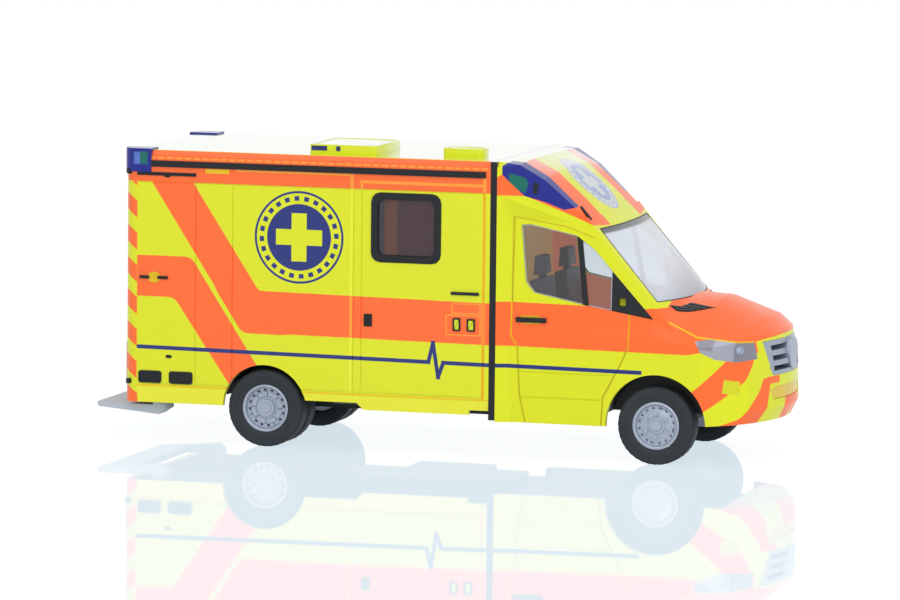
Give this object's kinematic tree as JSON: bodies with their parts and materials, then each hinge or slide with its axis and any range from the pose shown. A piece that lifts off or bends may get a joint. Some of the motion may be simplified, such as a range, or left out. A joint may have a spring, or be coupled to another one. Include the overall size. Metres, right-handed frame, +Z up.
{
  "type": "scale model ambulance",
  "caption": "Small-scale plastic model of a box-bodied ambulance van with a hollow cab and load box, stepped skirts, blue roof lamps and axles that roll.",
  "frame": {"origin": "on the floor, below the middle of the whole length and width", "axes": "+X towards the nose, +Y to the model's left, +Z up"},
  "size_m": [0.0732, 0.0244, 0.0318],
  "materials": {
    "box_paint": "moulded",
    "cab_paint": "moulded",
    "black_trim": "moulded",
    "tinted_glass": "moulded",
    "clear_glass": "moulded",
    "tan_wall": "moulded",
    "cab_grey": "moulded",
    "lamp_lens": "moulded",
    "grille_silver": "moulded",
    "blue_lens": "moulded",
    "red_lens": "moulded",
    "hatch_yellow": "moulded",
    "step_grey": "moulded",
    "plate_yellow": "moulded",
    "base_black": "moulded",
    "tyre_rubber": "moulded",
    "rim_silver": "moulded",
    "pin_steel": "moulded"
  },
  "bodies": {
    "model": {"box_shell": "box_paint", "cab_shell": "cab_paint", "seam_gasket": "black_trim", "window_frame": "black_trim", "gutter_rail_left": "black_trim", "gutter_rail_right": "black_trim", "rear_strip_left": "black_trim", "rear_strip_right": "black_trim", "mirror_base_left": "black_trim", "mirror_base_right": "black_trim", "window_bar_left": "black_trim", "window_bar_right": "black_trim", "window_pane": "tinted_glass", "rear_pane_left": "tinted_glass", "rear_pane_right": "tinted_glass", "windscreen": "clear_glass", "door_glass_left": "clear_glass", "door_glass_right": "clear_glass", "partition": "tan_wall", "seat_left": "cab_grey", "seat_right": "cab_grey", "dashboard": "cab_grey", "steering_wheel": "cab_grey", "headlamp_left": "lamp_lens", "headlamp_right": "lamp_lens", "grille": "grille_silver", "roof_beacon_left": "blue_lens", "roof_beacon_right": "blue_lens", "rear_beacon_left": "blue_lens", "rear_beacon_right": "blue_lens", "tail_lamp_left": "red_lens", "tail_lamp_right": "red_lens", "roof_hatch_large": "hatch_yellow", "roof_hatch_small": "hatch_yellow", "rear_step": "step_grey", "plate_panel": "plate_yellow", "chassis": "base_black"},
    "front_axle": {"front_tyre_left": "tyre_rubber", "front_tyre_right": "tyre_rubber", "front_rim_left": "rim_silver", "front_rim_right": "rim_silver", "front_axle_pin": "pin_steel"},
    "rear_axle": {"rear_outer_tyre_left": "tyre_rubber", "rear_outer_tyre_right": "tyre_rubber", "rear_inner_tyre_left": "tyre_rubber", "rear_inner_tyre_right": "tyre_rubber", "rear_outer_rim_left": "rim_silver", "rear_outer_rim_right": "rim_silver", "rear_inner_rim_left": "rim_silver", "rear_inner_rim_right": "rim_silver", "rear_axle_pin": "pin_steel"}
  },
  "joints": [
    {"name": "front_axle_spin", "type": "hinge", "parent": "model", "child": "front_axle", "pos_m": [0.0247, 0, 0.00406], "axis": [0, 1, 0], "continuous": true},
    {"name": "rear_axle_spin", "type": "hinge", "parent": "model", "child": "rear_axle", "pos_m": [-0.0174, 0, 0.00406], "axis": [0, 1, 0], "continuous": true}
  ]
}
